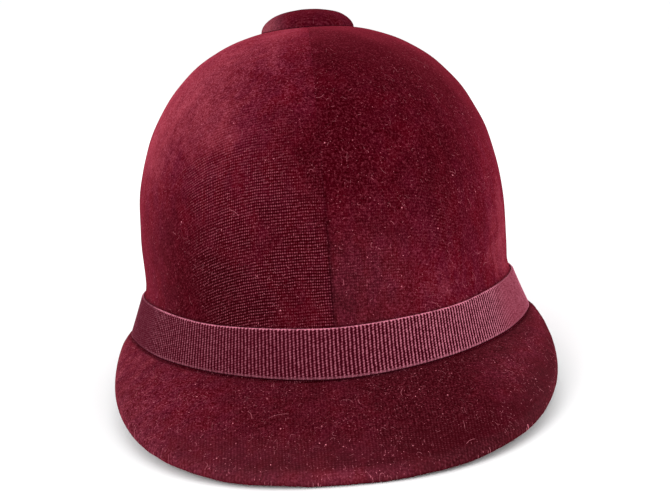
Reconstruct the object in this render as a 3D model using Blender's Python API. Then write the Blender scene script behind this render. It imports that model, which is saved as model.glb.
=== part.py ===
"""A riding helmet of the hunt-cap kind: a hard dome covered in four velvet quarters, with a wide
velvet peak, a grosgrain ribbon round the crown's base and a cushion button on top.

The helmet is modelled upright in its own frame, in metres: X across, -Y towards the peak, +Z up,
with z = 0 at the ribbon's top edge at the centre front. One parent empty then lays it down as it
stands by itself, on the back of its rim and the tip of its peak.
"""

import math

import bmesh
import bpy
from mathutils import Vector

# Crown, measured over the velvet
HALF_WIDTH = 0.0950
FRONT_REACH = 0.124
BACK_REACH = 0.108
WIDEST_Y = 0.008
WIDEST_Z = 0.028
DOME_RISE = 0.1065
FULLNESS = 2.3

# Walls and the gap that touching pieces keep
VELVET = 0.0015
SHELL = 0.005
GAP = 0.0003

# The wall draws in a little below its widest level, then flares from FLARE_RISE above the ribbon
WALL_TUCK = 0.0007
FLARE_RISE = 0.006

# Ribbon
RIBBON_DROP = 0.0203
RIBBON_THICKNESS = 0.0010

# Button
BUTTON_RADIUS = 0.024
BUTTON_HEIGHT = 0.0096
BUTTON_HOLLOW = 0.0010
SEAM_END_RADIUS = 0.006

# Peak: its edge in plan is a superellipse about PEAK_CENTRE_Y, on a plane that falls forwards
PEAK_THICKNESS = 0.0046
PEAK_HALF_WIDTH = 0.1088
PEAK_CENTRE_Y = -0.020
PEAK_REACH = 0.1524
PEAK_BACK_REACH = 0.085
PEAK_SQUARENESS = 2.4
PEAK_EDGE_Z = -0.0178
PEAK_EDGE_FALL = 0.187
PEAK_LENGTH = 0.062
PEAK_CAMBER = 0.0026
PEAK_SPAN = 90.0
PEAK_EDGE_SPAN = 104.0
PEAK_EDGE_ROUND = 0.0019

# Where the shell's foot at the back meets the surface, in the helmet's own frame, and how far the
# velvet's hem stays above it
REAR_FOOT_Y = 0.1205
REAR_FOOT_Z = -0.0290
HEM_LIFT = 0.0008

# Round the helmet, angle in degrees from the centre front: the height of the ribbon's top edge,
# the height of the rim, and how far the skirt flares outwards over the ribbon's drop
ROUND_COLUMNS = ("angle", "ribbon", "rim", "flare")
ROUND_TABLE = (
    (0, 0.0, -0.0262, 0.0021),
    (30, 0.0025, -0.0236, 0.0032),
    (60, 0.0058, -0.0202, 0.0063),
    (90, 0.0034, -0.0226, 0.0080),
    (120, -0.0025, -0.0288, 0.0064),
    (150, -0.0062, -0.0330, 0.0046),
    (180, -0.0050, -0.0330, 0.0040),
)

# Mesh fineness, and the name of the mark on edges to be rounded
ROUND_STEPS = 48
QUARTER_STEPS = ROUND_STEPS // 4
DOME_STEPS = 11
DOME_SPACING = 0.85
PEAK_ROWS = 6
BUTTON_STEPS = 36
BUTTON_ROWS = 6
BUTTON_UNDER_SHARES = (0.04, 0.5, 1)
MERGE = 0.00001
SHARP_ANGLE = 40.0
ROUNDING = "bevel_weight_edge"

# Colours as linear RGB with roughness
VELVET_LOOK = ((0.135, 0.010, 0.022), 0.85)
PEAK_LOOK = ((0.120, 0.009, 0.020), 0.85)
RIBBON_LOOK = ((0.235, 0.070, 0.105), 0.65)
SHELL_LOOK = ((0.030, 0.026, 0.025), 0.70)


def clear_scene():
    for thing in list(bpy.data.objects):
        bpy.data.objects.remove(thing, do_unlink=True)


def material(name, look):
    colour, roughness = look
    made = bpy.data.materials.new(name)
    made.use_nodes = True
    shader = made.node_tree.nodes["Principled BSDF"]
    shader.inputs["Base Color"].default_value = (*colour, 1.0)
    shader.inputs["Roughness"].default_value = roughness
    shader.inputs["Metallic"].default_value = 0.0
    return made


def round_value(column, angle):
    """A column of ROUND_TABLE at this angle, by a smooth curve that is level at both ends."""
    index = ROUND_COLUMNS.index(column)
    degrees = abs(math.degrees(angle))
    degrees = min(degrees, 360 - degrees)
    step = ROUND_TABLE[1][0]
    last = len(ROUND_TABLE) - 1
    row = min(int(degrees // step), last - 1)
    share = degrees / step - row

    def entry(k):
        return ROUND_TABLE[last - abs(last - abs(k))][index]

    before, start, end, after = (entry(row + k) for k in (-1, 0, 1, 2))
    slope_start = (end - before) / 2
    slope_end = (after - start) / 2
    rise = end - start
    cubic = slope_start + slope_end - 2 * rise
    square = 3 * rise - 2 * slope_start - slope_end
    return start + share * (slope_start + share * (square + share * cubic))


def plan_point(angle, scale, outset):
    """A point of the crown's egg-shaped plan, scaled about its middle, then moved out along its normal."""
    reach = FRONT_REACH if math.cos(angle) > 0 else BACK_REACH
    x = scale * HALF_WIDTH * math.sin(angle)
    y = -scale * reach * math.cos(angle)
    normal = Vector((reach * math.sin(angle), -HALF_WIDTH * math.cos(angle), 0)).normalized()
    return Vector((x, WIDEST_Y + y, 0)) + outset * normal


def skirt_point(angle, z, outset):
    """A point of the wall below its widest level."""
    below = round_value("ribbon", angle) - z
    slope = round_value("flare", angle) / RIBBON_DROP
    if below > 0:
        flare = slope * (below + FLARE_RISE / 2)
    else:
        flare = slope * max(below + FLARE_RISE, 0) ** 2 / (2 * FLARE_RISE)
    tuck = WALL_TUCK * min((WIDEST_Z - z) / WIDEST_Z, 1)
    point = plan_point(angle, 1, outset + flare - tuck)
    point.z = z
    return point


def dome_point(angle, climb, outset):
    """A point of the dome. climb runs from 0 at the widest level to a right angle at the apex."""
    scale = math.cos(climb) ** (2 / FULLNESS)
    rise = math.sin(climb) ** (2 / FULLNESS)
    point = plan_point(angle, scale, outset * scale)
    point.z = WIDEST_Z + (DOME_RISE + outset) * rise
    return point


def stance_slope(peak):
    """The slope of the plane that touches the rim's foot and the lowest point of the peak."""
    bpy.context.view_layer.update()
    shape = peak.evaluated_get(bpy.context.evaluated_depsgraph_get())
    points = [vertex.co for vertex in shape.data.vertices]
    return max((REAR_FOOT_Z - point.z) / (REAR_FOOT_Y - point.y) for point in points)


def on_surface(point, slope, lift):
    """The point raised to lift above the plane that the helmet stands on, where it would lie lower."""
    floor = REAR_FOOT_Z + slope * (point.y - REAR_FOOT_Y) + lift
    return Vector((point.x, point.y, max(point.z, floor)))


def skirt_heights(angle):
    """Heights of the wall's rows from the rim up to its widest level."""
    ribbon = round_value("ribbon", angle)
    return (
        round_value("rim", angle),
        ribbon - RIBBON_DROP,
        ribbon - RIBBON_DROP / 2,
        ribbon,
        ribbon + FLARE_RISE / 2,
        ribbon + FLARE_RISE,
        WIDEST_Z,
    )


def dome_climbs(top_radius):
    """Climbs of the dome's rows above the widest level, up to a ring of this radius at the apex."""
    last = math.acos((top_radius / HALF_WIDTH) ** (FULLNESS / 2))
    return [last * (k / DOME_STEPS) ** DOME_SPACING for k in range(1, DOME_STEPS + 1)]


def wall_column(angle, seam_gap, depth, top_radius, slope, lift):
    """One upright line of points from the rim to the apex, depth inside the velvet's face.

    It keeps seam_gap, a signed distance, from the plane through the apex at this angle.
    """

    def angle_at(scale):
        return angle + seam_gap / (HALF_WIDTH * scale)

    column = [skirt_point(angle_at(1), z, -depth) for z in skirt_heights(angle)]
    column[0] = on_surface(column[0], slope, lift)
    for climb in dome_climbs(top_radius):
        scale = math.cos(climb) ** (2 / FULLNESS)
        column.append(dome_point(angle_at(scale), climb, -depth))
    return column


def add_skin(mesh, columns, closed):
    """Quads over a grid of points, given as columns. Returns the columns of vertices."""
    grid = [[mesh.verts.new(point) for point in column] for column in columns]
    following = grid[1:] + grid[:1] if closed else grid[1:]
    for left, right in zip(grid, following):
        for row in range(len(left) - 1):
            mesh.faces.new((left[row], right[row], right[row + 1], left[row + 1]))
    return grid


def row_of(grid, row):
    return [column[row] for column in grid]


def bridge(mesh, first, second):
    """Quads between two rings of vertices that run side by side."""
    for k in range(len(first)):
        mesh.faces.new((first[k - 1], first[k], second[k], second[k - 1]))


def perimeter(grid):
    """The vertices round the outside of an open grid, in order."""
    return grid[0] + row_of(grid, -1)[1:-1] + grid[-1][::-1] + row_of(grid, 0)[1:-1][::-1]


def cap_with_apex(mesh, ring, height):
    apex = mesh.verts.new((0, WIDEST_Y, height))
    for one, other in zip(ring, ring[1:] + ring[:1]):
        mesh.faces.new((one, other, apex))


def new_mesh():
    """An empty bmesh whose edges can be marked for rounding."""
    mesh = bmesh.new()
    mesh.edges.layers.float.new(ROUNDING)
    return mesh


def soften(mesh, vertices, closed):
    """Marks the edges along a line of vertices for the Bevel modifier that rounds them."""
    weight = mesh.edges.layers.float[ROUNDING]
    following = vertices[1:] + vertices[:1] if closed else vertices[1:]
    for pair in zip(vertices, following):
        mesh.edges.get(pair)[weight] = 1.0


def finish(name, mesh, look, parent, round_width=0.0, round_steps=1):
    """Makes the object from a closed bmesh, with its material, smooth shading and rounded edges."""
    bmesh.ops.recalc_face_normals(mesh, faces=mesh.faces)
    data = bpy.data.meshes.new(name)
    mesh.to_mesh(data)
    mesh.free()
    data.shade_smooth()
    data.set_sharp_from_angle(angle=math.radians(SHARP_ANGLE))
    data.materials.append(material(name + "_finish", look))
    made = bpy.data.objects.new(name, data)
    bpy.context.scene.collection.objects.link(made)
    made.parent = parent
    if round_width:
        bevel = made.modifiers.new("rounded_edges", "BEVEL")
        bevel.width = round_width
        bevel.segments = round_steps
        bevel.limit_method = "WEIGHT"
    return made


def make_shell(parent, slope):
    """The hard wall of the crown, open below."""
    mesh = new_mesh()
    rims = []
    for depth in (VELVET + GAP, VELVET + GAP + SHELL):
        columns = [
            wall_column(2 * math.pi * k / ROUND_STEPS, 0, depth, BUTTON_RADIUS / 2, slope, 0)
            for k in range(ROUND_STEPS)
        ]
        grid = add_skin(mesh, columns, True)
        cap_with_apex(mesh, row_of(grid, -1), WIDEST_Z + DOME_RISE - depth)
        rims.append(row_of(grid, 0))
    bridge(mesh, *rims)
    return finish("crown_shell", mesh, SHELL_LOOK, parent)


def make_quarter(name, quarter, parent, slope):
    """One velvet quarter of the cover, from seam to seam and from the rim to under the button."""
    seam_gaps = [GAP / 2] + [0] * (QUARTER_STEPS - 1) + [-GAP / 2]
    mesh = new_mesh()
    grids = []
    for depth in (0, VELVET):
        columns = []
        for step, seam_gap in enumerate(seam_gaps):
            angle = math.pi / 2 * (quarter + step / QUARTER_STEPS)
            columns.append(wall_column(angle, seam_gap, depth, SEAM_END_RADIUS, slope, HEM_LIFT))
        grids.append(add_skin(mesh, columns, False))
    outer, inner = grids
    bridge(mesh, perimeter(outer), perimeter(inner))
    for seam in (outer[0], outer[-1]):
        soften(mesh, seam, False)
    return finish(name, mesh, VELVET_LOOK, parent, VELVET / 3)


def make_ribbon(parent):
    """The grosgrain ribbon, a closed band that lies on the velvet skirt."""
    mesh = new_mesh()
    grids = []
    for outset in (GAP, GAP + RIBBON_THICKNESS):
        columns = []
        for k in range(ROUND_STEPS):
            angle = 2 * math.pi * k / ROUND_STEPS
            top = round_value("ribbon", angle)
            drops = (RIBBON_DROP, RIBBON_DROP / 2, 0)
            columns.append([skirt_point(angle, top - drop, outset) for drop in drops])
        grids.append(add_skin(mesh, columns, True))
    inner, outer = grids
    for row in (0, -1):
        bridge(mesh, row_of(inner, row), row_of(outer, row))
        soften(mesh, row_of(outer, row), True)
    return finish("ribbon_band", mesh, RIBBON_LOOK, parent, RIBBON_THICKNESS / 3)


def make_button(parent):
    """The covered button, a cushion of revolution whose hollow underside follows the dome."""
    mesh = new_mesh()
    climbs = [math.pi / 2 * k / BUTTON_ROWS for k in range(BUTTON_ROWS, -1, -1)]
    top = [
        Vector((BUTTON_RADIUS * math.cos(a), 0, BUTTON_HEIGHT * math.sin(a) - BUTTON_HOLLOW))
        for a in climbs
    ]
    top[0].x = 0
    under = [
        Vector((BUTTON_RADIUS * (1 - share), 0, -BUTTON_HOLLOW * (1 - share) ** 2))
        for share in BUTTON_UNDER_SHARES
    ]
    profile = [mesh.verts.new(point) for point in top + under]
    edges = [mesh.edges.new(pair) for pair in zip(profile, profile[1:])]
    bmesh.ops.spin(
        mesh, geom=profile + edges, axis=(0, 0, 1), cent=(0, 0, 0),
        angle=2 * math.pi, steps=BUTTON_STEPS, use_merge=True,
    )
    bmesh.ops.remove_doubles(mesh, verts=mesh.verts, dist=MERGE)
    button = finish("top_button", mesh, VELVET_LOOK, parent)
    button.location = (0, WIDEST_Y, WIDEST_Z + DOME_RISE + GAP)
    return button


def peak_edge(angle):
    """The top of the peak's outer edge."""
    turn = angle * PEAK_EDGE_SPAN / PEAK_SPAN
    power = 2 / PEAK_SQUARENESS
    x = PEAK_HALF_WIDTH * math.copysign(abs(math.sin(turn)) ** power, turn)
    if math.cos(turn) > 0:
        y = PEAK_CENTRE_Y - PEAK_REACH * math.cos(turn) ** power
    else:
        y = PEAK_CENTRE_Y + PEAK_BACK_REACH * (-math.cos(turn)) ** power
    return Vector((x, y, PEAK_EDGE_Z + PEAK_EDGE_FALL * y))


def peak_point(angle, share, depth):
    """A point of the peak, depth below its upper face. share runs from 0 at its root to 1 at its edge."""
    root_top = round_value("ribbon", angle) - RIBBON_DROP - GAP
    root = skirt_point(angle, root_top - depth, GAP)
    edge = peak_edge(angle) - Vector((0, 0, depth))
    point = root.lerp(edge, share)
    camber = PEAK_CAMBER * (edge - root).length / PEAK_LENGTH
    point.z += camber * 4 * share * (1 - share)
    return point


def make_peak(parent):
    """The stiff velvet-covered peak, a cambered plate from ear to ear."""
    mesh = new_mesh()
    steps = ROUND_STEPS // 2
    angles = [math.radians(PEAK_SPAN) * (2 * k / steps - 1) for k in range(steps + 1)]
    shares = [k / PEAK_ROWS for k in range(PEAK_ROWS + 1)]
    upper = add_skin(mesh, [[peak_point(a, s, 0) for s in shares] for a in angles], False)
    lower = add_skin(mesh, [[peak_point(a, s, PEAK_THICKNESS) for s in shares] for a in angles], False)
    bridge(mesh, perimeter(upper), perimeter(lower))
    for skin in (upper, lower):
        soften(mesh, row_of(skin, -1), False)
    return finish("peak", mesh, PEAK_LOOK, parent, PEAK_EDGE_ROUND, 3)


def stand(parent, pieces, slope):
    """Leans the helmet onto its rim and peak, with the middle of its footprint at the origin."""
    parent.rotation_euler.x = -math.atan(slope)
    bpy.context.view_layer.update()
    graph = bpy.context.evaluated_depsgraph_get()
    corners = []
    for piece in pieces:
        shape = piece.evaluated_get(graph)
        corners += [shape.matrix_world @ vertex.co for vertex in shape.data.vertices]
    low = [min(corner[axis] for corner in corners) for axis in range(3)]
    high = [max(corner[axis] for corner in corners) for axis in range(3)]
    middle = Vector(((low[0] + high[0]) / 2, (low[1] + high[1]) / 2, low[2]))
    parent.location = -middle


def main():
    clear_scene()
    helmet = bpy.data.objects.new("helmet", None)
    bpy.context.scene.collection.objects.link(helmet)
    quarters = ("cover_front_left", "cover_back_left", "cover_back_right", "cover_front_right")
    peak = make_peak(helmet)
    slope = stance_slope(peak)
    pieces = [peak, make_shell(helmet, slope)]
    pieces += [make_quarter(name, quarter, helmet, slope) for quarter, name in enumerate(quarters)]
    pieces += [make_ribbon(helmet), make_button(helmet)]
    stand(helmet, pieces, slope)


main()
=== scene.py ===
"""Looks for the riding helmet: velvet quarters, grosgrain ribbon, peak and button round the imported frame.

The pieces are modelled in the helmet's own frame, in metres: X across, -Y towards the peak, +Z up,
with z = 0 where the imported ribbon's top edge crosses the centre front. Angles run round the helmet
from the centre front towards +X. to_world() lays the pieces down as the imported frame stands.
"""

import math
from functools import reduce

import bpy
import numpy as np
from mathutils import Matrix, Vector


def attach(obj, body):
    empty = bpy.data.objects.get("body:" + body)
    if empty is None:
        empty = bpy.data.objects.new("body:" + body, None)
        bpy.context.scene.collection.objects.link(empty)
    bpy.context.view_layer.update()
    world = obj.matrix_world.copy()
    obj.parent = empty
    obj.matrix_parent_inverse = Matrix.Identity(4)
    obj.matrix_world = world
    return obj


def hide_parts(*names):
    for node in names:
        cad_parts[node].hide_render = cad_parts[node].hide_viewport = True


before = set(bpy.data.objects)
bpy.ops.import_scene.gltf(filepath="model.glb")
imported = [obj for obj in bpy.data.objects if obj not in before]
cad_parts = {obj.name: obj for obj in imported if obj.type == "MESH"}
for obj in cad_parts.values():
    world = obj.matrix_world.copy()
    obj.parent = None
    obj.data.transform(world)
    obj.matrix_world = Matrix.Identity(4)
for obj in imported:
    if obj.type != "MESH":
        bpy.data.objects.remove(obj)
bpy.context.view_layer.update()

# How the helmet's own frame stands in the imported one
LEAN = -0.0871709
PLACE = (0.0, 0.0290004, 0.0393807)

# Crown, measured over the velvet
HALF_WIDTH = 0.0950
FRONT_REACH = 0.124
BACK_REACH = 0.108
WIDEST_Y = 0.008
WIDEST_Z = 0.028
DOME_RISE = 0.1065
FULLNESS = 2.3
VELVET = 0.0015
GAP = 0.0003
WALL_TUCK = 0.0007
FLARE_RISE = 0.006
FLARE_DROP = 0.0203
SEAM_END_RADIUS = 0.006
HEM_LIFT = 0.0008
REAR_FOOT_Y = 0.1205
REAR_FOOT_Z = -0.0290

# Ribbon: how far its lower edge hangs below the heights in ROUND_TABLE, and a little more at the
# front; how far its top edge lies below them, and a little more between the front and the sides
RIBBON_DROP = 0.0213
RIBBON_FRONT_DROP = 0.0019
RIBBON_FRONT = (76, 50)
RIBBON_SINK = 0.0004
RIBBON_SIDE_SINK = 0.0016
RIBBON_SIDE_START = (8, 42)
RIBBON_SIDE_END = (90, 50)
RIBBON_THICKNESS = 0.0010

# Button
BUTTON_RADIUS = 0.024
BUTTON_HEIGHT = 0.0096
BUTTON_HOLLOW = 0.0010

# Peak
PEAK_THICKNESS = 0.0046
PEAK_HALF_WIDTH = 0.1088
PEAK_CENTRE_Y = -0.020
PEAK_REACH = 0.1524
PEAK_BACK_REACH = 0.085
PEAK_SQUARENESS = 2.4
PEAK_EDGE_Z = -0.0178
PEAK_EDGE_FALL = 0.187
PEAK_LENGTH = 0.062
PEAK_CAMBER = 0.0026
PEAK_SPAN = 90.0
PEAK_EDGE_SPAN = 104.0

# Round the helmet, angle in degrees from the centre front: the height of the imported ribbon's top edge,
# the height of the rim, and how far the skirt flares outwards over FLARE_DROP
ROUND_COLUMNS = ("angle", "ribbon", "rim", "flare")
ROUND_TABLE = (
    (0, 0.0, -0.0262, 0.0021),
    (30, 0.0025, -0.0236, 0.0032),
    (60, 0.0058, -0.0202, 0.0063),
    (90, 0.0034, -0.0226, 0.0080),
    (120, -0.0025, -0.0288, 0.0064),
    (150, -0.0062, -0.0330, 0.0046),
    (180, -0.0050, -0.0330, 0.0040),
)

# Camera, in the helmet's own frame
CAMERA_PLACE = (-0.0096, -0.6802, 0.1106)
CAMERA_PITCH = 7.735
CAMERA_YAW = 0.806
CAMERA_ROLL = 4.437
FOCAL_PIXELS = 1310.0
CENTRE_PIXEL = (324.86, 250.48)
PICTURE = (670, 500)
SENSOR_MM = 36.0


# Shape of the helmet, on arrays of points


def to_world():
    return Matrix.Translation(PLACE) @ Matrix.Rotation(LEAN, 4, "X")


def smooth_step(start, full, value):
    """A smooth ramp from 0 at start to 1 at full, which may be the lower of the two."""
    share = np.clip((value - start) / (full - start), 0, 1)
    return share * share * (3 - 2 * share)


def bell(value):
    return np.exp(-(value**2))


def degrees_aside(angle):
    """How far round from the centre front, to either side, in degrees."""
    degrees = np.abs(np.degrees(angle)) % 360
    return np.minimum(degrees, 360 - degrees)


def round_value(column, angle):
    """A column of ROUND_TABLE at these angles, by a smooth curve that is level at both ends."""
    index = ROUND_COLUMNS.index(column)
    values = [row[index] for row in ROUND_TABLE]
    values = np.array([values[1]] + values + [values[-2]])
    step = ROUND_TABLE[1][0]
    degrees = degrees_aside(angle)
    row = np.minimum((degrees // step).astype(int), len(ROUND_TABLE) - 2)
    share = degrees / step - row
    before, start, end, after = (values[row + k] for k in range(4))
    slope_start = (end - before) / 2
    slope_end = (after - start) / 2
    cubic = slope_start + slope_end - 2 * (end - start)
    square = 3 * (end - start) - 2 * slope_start - slope_end
    return start + share * (slope_start + share * (square + share * cubic))


def ribbon_top(angle):
    """The height of the ribbon's top edge."""
    degrees = degrees_aside(angle)
    sides = smooth_step(*RIBBON_SIDE_START, degrees) * smooth_step(*RIBBON_SIDE_END, degrees)
    return round_value("ribbon", angle) - RIBBON_SINK - RIBBON_SIDE_SINK * sides


def ribbon_bottom(angle):
    """The height of the ribbon's lower edge."""
    front = smooth_step(*RIBBON_FRONT, degrees_aside(angle))
    return round_value("ribbon", angle) - RIBBON_DROP - RIBBON_FRONT_DROP * front


def plan_point(angle, scale, outset):
    """Points of the crown's egg-shaped plan, scaled about its middle, then moved out along its normal."""
    reach = np.where(np.cos(angle) > 0, FRONT_REACH, BACK_REACH)
    x = scale * HALF_WIDTH * np.sin(angle)
    y = -scale * reach * np.cos(angle)
    normal = np.stack([reach * np.sin(angle), -HALF_WIDTH * np.cos(angle)], axis=-1)
    normal /= np.linalg.norm(normal, axis=-1, keepdims=True)
    x = x + outset * normal[..., 0]
    y = y + outset * normal[..., 1] + WIDEST_Y
    return np.stack([x, y, np.zeros_like(x)], axis=-1)


def skirt_point(angle, z, outset):
    """Points of the wall below its widest level."""
    below = round_value("ribbon", angle) - z
    slope = round_value("flare", angle) / FLARE_DROP
    lower = slope * (below + FLARE_RISE / 2)
    upper = slope * np.maximum(below + FLARE_RISE, 0) ** 2 / (2 * FLARE_RISE)
    flare = np.where(below > 0, lower, upper)
    tuck = WALL_TUCK * np.minimum((WIDEST_Z - z) / WIDEST_Z, 1)
    point = plan_point(angle, 1.0, outset + flare - tuck)
    point[..., 2] = z
    return point


def dome_scale(level):
    """How much smaller the plan is at each level than at the widest one."""
    return np.cos(np.maximum(level, 0)) ** (2 / FULLNESS)


def dome_point(angle, climb, outset):
    """Points of the dome. climb runs from 0 at the widest level to a right angle at the apex."""
    scale = dome_scale(climb)
    point = plan_point(angle, scale, outset * scale)
    point[..., 2] = WIDEST_Z + (DOME_RISE + outset) * np.sin(climb) ** (2 / FULLNESS)
    return point


def wall_point(angle, level, outset):
    """Points of the wall by level: below 0 a height under the widest level, above 0 a climb."""
    low = skirt_point(angle, WIDEST_Z + np.minimum(level, 0), outset)
    high = dome_point(angle, np.maximum(level, 0), outset)
    return np.where((level > 0)[..., None], high, low)


def hem_level(angle):
    """The level of the velvet's hem, which stays HEM_LIFT above the surface that the helmet stands on."""
    rim = round_value("rim", angle)
    point = skirt_point(angle, rim, 0.0)
    ground_slope = -math.tan(LEAN)
    floor = REAR_FOOT_Z + ground_slope * (point[..., 1] - REAR_FOOT_Y) + HEM_LIFT
    return np.maximum(rim, floor) - WIDEST_Z


# Mesh making


def grid_faces(columns, rows, first=0, closed=False):
    """Quads over a grid whose vertices are numbered column by column."""
    across = np.arange(columns if closed else columns - 1)
    up = np.arange(rows - 1)
    left = first + across[:, None] * rows + up
    right = first + ((across + 1) % columns)[:, None] * rows + up
    return np.stack([left, right, right + 1, left + 1], axis=-1).reshape(-1, 4).tolist()


def wide_grid(column, rows):
    """A value of each column, repeated up its rows."""
    return np.tile(column[:, None], (1, rows))


def make_piece(name, points, faces, maps):
    """A smooth mesh object from points in the helmet's frame. maps are named values of each vertex."""
    world = np.array(to_world())
    points = points.reshape(-1, 3) @ world[:3, :3].T + world[:3, 3]
    mesh = bpy.data.meshes.new(name)
    mesh.from_pydata(points.tolist(), [], faces)
    mesh.validate()
    mesh.shade_smooth()
    piece = bpy.data.objects.new(name, mesh)
    bpy.context.scene.collection.objects.link(piece)
    for key, values in maps.items():
        set_map(piece, key, values)
    return piece


def set_map(piece, key, values, domain="POINT"):
    layer = piece.data.attributes.new(key, "FLOAT", domain)
    layer.data.foreach_set("value", np.asarray(values, np.float32).reshape(-1))


def get_map(piece, key):
    layer = piece.data.attributes[key]
    values = np.zeros(len(layer.data), np.float32)
    layer.data.foreach_get("value", values)
    return values


def helmet_points(piece):
    """Each vertex's place in the helmet's frame."""
    points = np.zeros(len(piece.data.vertices) * 3, np.float32)
    piece.data.vertices.foreach_get("co", points)
    back = np.array(to_world().inverted())
    return points.reshape(-1, 3) @ back[:3, :3].T + back[:3, 3]


TINY = 1e-12


def normals_of(points):
    """Unit normals of a grid of points, pointing outwards when columns run anticlockwise."""
    across = np.gradient(points, axis=0)
    up = np.gradient(points, axis=1)
    normal = np.cross(across, up)
    return normal / np.maximum(np.linalg.norm(normal, axis=-1, keepdims=True), TINY)


# The plane waves of a soft field: how many, and how far they spread about its size
WAVES = 9
WAVE_SPREAD = (0.6, 1.6)


def soft_waves(points, height, seed, size):
    """A smooth field, mostly within this height, from a few plane waves of about this size."""
    rng = np.random.default_rng(seed)
    total = np.zeros(points.shape[:-1])
    for _ in range(WAVES):
        direction = rng.normal(size=3)
        direction *= rng.uniform(*WAVE_SPREAD) * 2 * math.pi / (size * np.linalg.norm(direction))
        total += np.sin(points @ direction + rng.uniform(0, 2 * math.pi))
    return height * total / math.sqrt(WAVES)


# The velvet quarters

QUARTER_COLUMNS = 97
SKIRT_ROWS = 56
DOME_ROWS = 132
INNER_ROWS = 8
SEAM_CROWDING = 0.8
APEX_CROWDING = 0.85
DOME_START = 1e-9

# Seams: the gap between two quarters, how deep the cloth dips and how much deeper low down, how wide
# the dip and its line of painted shade are, and how dark that painted shade is and how much darker low down
SEAM_GAP = 0.00002
SEAM_DIP = 0.00008
SEAM_LOW_DIP = 0.00018
SEAM_SHOULDER = 0.0015
SEAM_LINE = 0.0013
SEAM_DARK = 0.10
SEAM_LOW_DARK = 0.80
SEAM_LOW_HEIGHTS = (0.066, 0.034)

# The shade along the ribbon's top edge: how wide and how dark
RIBBON_SHADE = 0.0011
RIBBON_DARK = 0.7

HEM_ROUND = 0.0007
WEFT_DROOP = 0.0540

# Slight waves in the cloth, none by the button or the ribbon: their height, seed and size
CLOTH_WAVES = (0.00016, 11, 0.030)
CLEAR_OF_BUTTON = (0.026, 0.032)
CLEAR_OF_RIBBON = (0.001, 0.009)


def seam_shares():
    """Shares across a quarter, closer together at both seams."""
    share = np.linspace(0, 1, QUARTER_COLUMNS)
    return share - SEAM_CROWDING * np.sin(2 * math.pi * share) / (2 * math.pi)


def quarter_levels(angle):
    """Levels up each column from the hem to the top, one row for each column's angle."""
    skirt = hem_level(angle)[:, None] * (1 - np.linspace(0, 1, SKIRT_ROWS, endpoint=False))
    last = math.acos((SEAM_END_RADIUS / HALF_WIDTH) ** (FULLNESS / 2))
    climbs = last * np.linspace(0, 1, DOME_ROWS) ** APEX_CROWDING
    dome = np.tile(climbs + DOME_START, (len(angle), 1))
    return np.concatenate([skirt, dome], axis=1)


def quarter_angles(angle, levels):
    """Each point's angle on a quarter, whose two edges draw in by half the seam's gap."""
    aside = np.zeros_like(angle)
    aside[0] = SEAM_GAP / 2
    aside[-1] = -SEAM_GAP / 2
    return angle[:, None] + aside[:, None] / (HALF_WIDTH * dome_scale(levels))


def degrees_from_seam(angle):
    """Degrees round from the nearer of the front and the back seam."""
    return np.abs((np.degrees(angle) + 90) % 180 - 90)


def weft_height(points, angle):
    """Height up the cloth by its own weft, which droops towards the side seams."""
    steps = np.linalg.norm(np.diff(points, axis=1), axis=-1)
    length = np.concatenate([np.zeros((len(points), 1)), np.cumsum(steps, axis=1)], axis=1)
    turn = np.radians(degrees_from_seam(angle))
    return length + points[:, :1, 2] + WEFT_DROOP * (turn - np.sin(2 * turn) / 2)[:, None]


def make_quarter(name, order):
    """A quarter of the cover: a fine outer skin with its seams, hem and waves, and a plain inner one."""
    share = seam_shares()
    angle = math.pi / 2 * (order + share)
    levels = quarter_levels(angle)
    angles = quarter_angles(angle, levels)
    outer = wall_point(angles, levels, 0.0)
    normal = normals_of(outer)
    from_seam = np.minimum(share, 1 - share)[:, None] * math.pi / 2 * HALF_WIDTH * dome_scale(levels)
    low = smooth_step(*SEAM_LOW_HEIGHTS, outer[..., 2])
    dip = (SEAM_DIP + SEAM_LOW_DIP * low) * bell(from_seam / SEAM_SHOULDER)
    rise_from_hem = np.linalg.norm(outer - outer[:, :1], axis=-1)
    hem = HEM_ROUND * bell(rise_from_hem / HEM_ROUND)
    from_apex = np.hypot(outer[..., 0], outer[..., 1] - WIDEST_Y)
    over_ribbon = outer[..., 2] - round_value("ribbon", angles)
    loose = smooth_step(*CLEAR_OF_BUTTON, from_apex) * smooth_step(*CLEAR_OF_RIBBON, over_ribbon)
    height, seed, size = CLOTH_WAVES
    waves = soft_waves(outer, height, seed + order, size)
    outer = outer - normal * (dip + hem - waves * loose)[..., None]

    inner_levels = levels[:, spaced_rows(levels.shape[1], INNER_ROWS)]
    inner = wall_point(quarter_angles(angle, inner_levels), inner_levels, -VELVET)
    # Painted shade along the seam's dip, and along the ribbon's top edge
    seam_shade = bell(from_seam / SEAM_LINE) * (SEAM_DARK + SEAM_LOW_DARK * low)
    by_ribbon = bell((outer[..., 2] - ribbon_top(angles)) / RIBBON_SHADE)
    maps = {
        "weft": weft_height(outer, angle),
        "turn": wide_grid(angle, outer.shape[1]),
        "seam_shade": np.maximum(seam_shade, RIBBON_DARK * by_ribbon),
    }
    return join_skins(name, outer, inner, maps)


def spaced_rows(rows, count):
    """A few evenly spaced row numbers, the first and the last among them."""
    return [int(k) for k in np.linspace(0, rows - 1, count)]


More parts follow.
